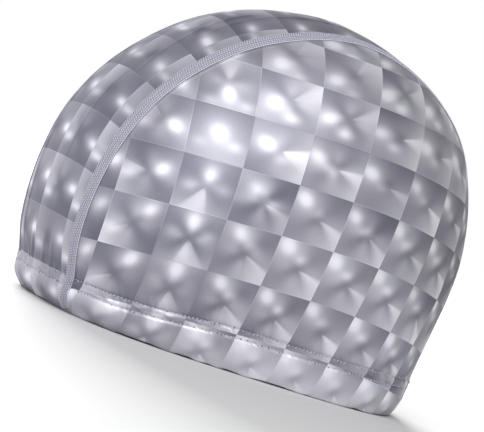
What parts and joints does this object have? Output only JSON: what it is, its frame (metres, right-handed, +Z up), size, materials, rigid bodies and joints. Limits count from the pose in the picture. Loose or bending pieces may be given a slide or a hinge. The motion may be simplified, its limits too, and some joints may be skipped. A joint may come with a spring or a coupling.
{
  "type": "swim cap",
  "caption": "Stretch swim cap of coated cloth, with a centre panel and side panels joined by flat seams, and a folded, stitched hem.",
  "frame": {"origin": "under the middle of the cap's bounding box, in the plane of the rim that it rests on", "axes": "-Y towards the forehead, +Y towards the nape, +X the wearer's left, +Z up to the crown"},
  "size_m": [0.1522, 0.1908, 0.1566],
  "materials": {
    "coated_cloth": "silver-lavender coated stretch knit with a shiny pattern of squares",
    "seam_thread": "matt grey flat seam thread"
  },
  "bodies": {
    "root": {"centre_panel": "coated_cloth", "left_side_panel": "coated_cloth", "right_side_panel": "coated_cloth", "left_seam": "seam_thread", "right_seam": "seam_thread"}
  },
  "joints": []
}
